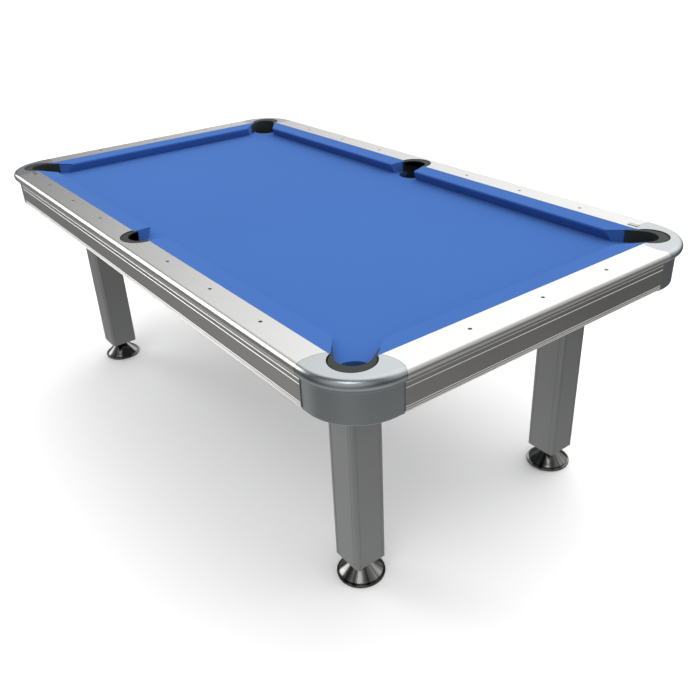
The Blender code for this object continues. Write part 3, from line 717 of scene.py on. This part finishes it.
def feet():
    """A black pad, a chromed disc and a chromed bell with its stem, for each leg."""
    base_low, base_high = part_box("foot_base_back_right")
    cone_low, cone_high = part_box("foot_cone_back_right")
    centre = (base_low + base_high) / 2
    base_radius = (base_high.x - base_low.x) / 2
    cone_radius = (cone_high.x - cone_low.x) / 2
    neck, stem, neck_top = FOOT_NECK_RADIUS, FOOT_STEM_RADIUS, FOOT_NECK_TOP
    pad_top = base_low.z + FOOT_PAD
    pad = turned(
        [
            (base_radius - 0.003, base_low.z),
            (base_radius - 0.0012, base_low.z + 0.001),
            (base_radius - 0.0012, pad_top),
        ],
        "pad",
    )
    base = turned(
        [
            (base_radius - 0.0025, pad_top + 0.0001),
            (base_radius - 0.0006, pad_top + 0.0006),
            (base_radius, pad_top + 0.0018),
            (base_radius, base_high.z - 0.0022),
            (base_radius - 0.0010, base_high.z - 0.0006),
            (base_radius - 0.0028, base_high.z),
        ],
        "base",
    )
    start, top = cone_low.z + FOOT_CONE_RIM, FOOT_CONE_TOP
    cone_profile = [(cone_radius - 0.0006, cone_low.z), (cone_radius, cone_low.z + 0.0008)]
    cone_profile += [(cone_radius, start - 0.001), (cone_radius - 0.001, start)]
    for step in range(1, 17):
        share = step / 16
        cone_profile.append((cone_radius - (cone_radius - neck) * share**0.9, start + (top - start) * share))
    cone_profile += [(neck, neck_top - 0.001), (neck - 0.001, neck_top), (stem, neck_top)]
    cone_profile += [(stem, cone_high.z - 0.002), (stem - 0.002, cone_high.z)]
    cone = turned(cone_profile, "cone")
    for name, (side_x, side_y) in CORNERS.items():
        place = Matrix.Translation((side_x * centre.x, side_y * centre.y, 0))
        sole = copy_of(pad, f"foot_pad_{name}")
        sole.data.transform(place)
        finish_piece(smooth(sole), BLACK_INLAY, f"foot_{name}")
        disc = copy_of(base, f"foot_disc_{name}")
        disc.data.transform(place)
        finish_piece(smooth(disc), CHROME, f"foot_{name}", f"foot_base_{name}")
        bell = copy_of(cone, f"foot_bell_{name}")
        bell.data.transform(place)
        finish_piece(smooth(bell), CHROME, f"spindle_{name}", f"foot_cone_{name}")
    for spare in (pad, base, cone):
        bpy.data.objects.remove(spare)


# ---------------------------------------------------------------- build


def dress_kept_nodes():
    """The frame's own solids that stay in view: slate, beams and plates."""
    for name, node in NODES.items():
        if name.startswith("slate"):
            finish = SLATE
        elif name.startswith(("frame_beam", "cross_beam", "leg_plate", "leg_end_plate")):
            finish = POWDER
        else:
            continue
        for slot in node.material_slots:
            slot.material = finish


bed = bed_cloth()
cushions()
rails()
castings()
aprons_and_pockets()
legs()
feet()
dress_kept_nodes()

# ---------------------------------------------------------------- floor, light and camera


def stage():
    bpy.ops.mesh.primitive_plane_add(size=60, location=(0, 0, 0))
    floor = bpy.context.object
    floor.name = "floor"
    material, _, _ = new_material("matte_white_floor", Base_Color=linear("#FFFFFF"), Roughness=0.9)
    floor.data.materials.append(material)
    floor.visible_glossy = False


def direction(turn, height):
    """A unit vector at this angle from +X, and this angle above the floor, in degrees."""
    turn, height = math.radians(turn), math.radians(height)
    return Vector((math.cos(height) * math.cos(turn), math.cos(height) * math.sin(turn), math.sin(height)))


def sky_fill(turn, height, strength):
    """A very wide sun: the even light of a white studio ceiling, which the metal doesn't mirror."""
    light = bpy.data.lights.new("ceiling", "SUN")
    light.angle = math.radians(150)
    light.energy = strength
    lamp = bpy.data.objects.new("ceiling", light)
    lamp.location = 5 * direction(turn, height)
    lamp.rotation_euler = (-direction(turn, height)).to_track_quat("-Z", "Y").to_euler()
    lamp.visible_glossy = False
    bpy.context.scene.collection.objects.link(lamp)


def studio_walls():
    """A room around the table: a bright wall behind it, a darker floor and front, and four soft windows."""
    world = bpy.data.worlds.new("studio")
    bpy.context.scene.world = world
    world.use_nodes = True
    tree = world.node_tree

    def towards(place, low, high, dim, bright):
        way = add(tree, "ShaderNodeTexCoord").outputs["Generated"]
        facing = add(tree, "ShaderNodeVectorMath", {"operation": "DOT_PRODUCT"}, {0: way, 1: place})
        return add(
            tree,
            "ShaderNodeMapRange",
            {"interpolation_type": "SMOOTHSTEP"},
            {
                "Value": facing.outputs["Value"],
                "From Min": low,
                "From Max": high,
                "To Min": dim,
                "To Max": bright,
            },
        ).outputs["Result"]

    wall = towards(direction(115, 45), 0.50, 1.0, *WALL_TONES)
    ground = towards(Vector((0, 0, -1)), 0.30, 0.66, *GROUND_TONES)
    ground_left = towards(direction(196, -20), 0.72, 1.0, 0.0, GROUND_LEFT)
    below = towards(Vector((0, 0, -1)), 0.70, 1.0, 0.0, 0.22)
    for lobe in (ground_left, below):
        ground = add(tree, "ShaderNodeMath", {"operation": "ADD"}, {0: ground, 1: lobe}).outputs[0]
    above = towards(Vector((0, 0, 1)), -0.10, 0.06, 0.0, 1.0)
    tone = add(tree, "ShaderNodeMix", {"data_type": "FLOAT"}, {0: above, 2: ground, 3: wall}).outputs[0]
    for place, narrow, bright in WINDOWS:
        window = towards(direction(*place), narrow, 1.0, 0.0, bright)
        tone = add(tree, "ShaderNodeMath", {"operation": "ADD"}, {0: tone, 1: window}).outputs[0]
    background = tree.nodes["Background"]
    background.inputs["Color"].default_value = linear("#FFFFFF")
    tree.links.new(tone, background.inputs["Strength"])


# How bright the room is: wall and ground from dim to bright, and each window's turn and height, edge and tone
WALL_TONES = (0.10, 1.30)
GROUND_TONES = (0.09, 0.28)
GROUND_LEFT = 0.16
WINDOWS = (
    ((204, 24), 0.94, 3.6),
    ((305, 52), 0.955, 2.0),
    ((305, 22), 0.55, 0.42),
    ((50, 26), 0.70, 0.45),
)


def lights():
    studio_walls()
    sky_fill(68, 62, 2.6)


CAMERA_PLACE = (2.1777, -1.3794, 1.6433)
CAMERA_TURN = 2.5096
CAMERA_DOWN = 0.5081
CAMERA_ROLL = -0.0440
CAMERA_LENS = 39.78


def camera():
    """The camera looks along its turn from +X and down; its roll is about the line of sight."""
    data = bpy.data.cameras.new("camera")
    data.lens = CAMERA_LENS
    data.sensor_width = 36
    data.clip_end = 200
    seen = bpy.data.objects.new("camera", data)
    bpy.context.scene.collection.objects.link(seen)
    ahead = Vector(
        (
            math.cos(CAMERA_DOWN) * math.cos(CAMERA_TURN),
            math.cos(CAMERA_DOWN) * math.sin(CAMERA_TURN),
            -math.sin(CAMERA_DOWN),
        )
    )
    level = ahead.cross(Vector((0, 0, 1))).normalized()
    down = ahead.cross(level)
    right = math.cos(CAMERA_ROLL) * level - math.sin(CAMERA_ROLL) * down
    below = math.sin(CAMERA_ROLL) * level + math.cos(CAMERA_ROLL) * down
    turn = Matrix((right, -below, -ahead)).transposed().to_4x4()
    seen.matrix_world = Matrix.Translation(CAMERA_PLACE) @ turn
    bpy.context.scene.camera = seen


stage()
lights()
camera()
bpy.context.scene.view_settings.view_transform = "Standard"
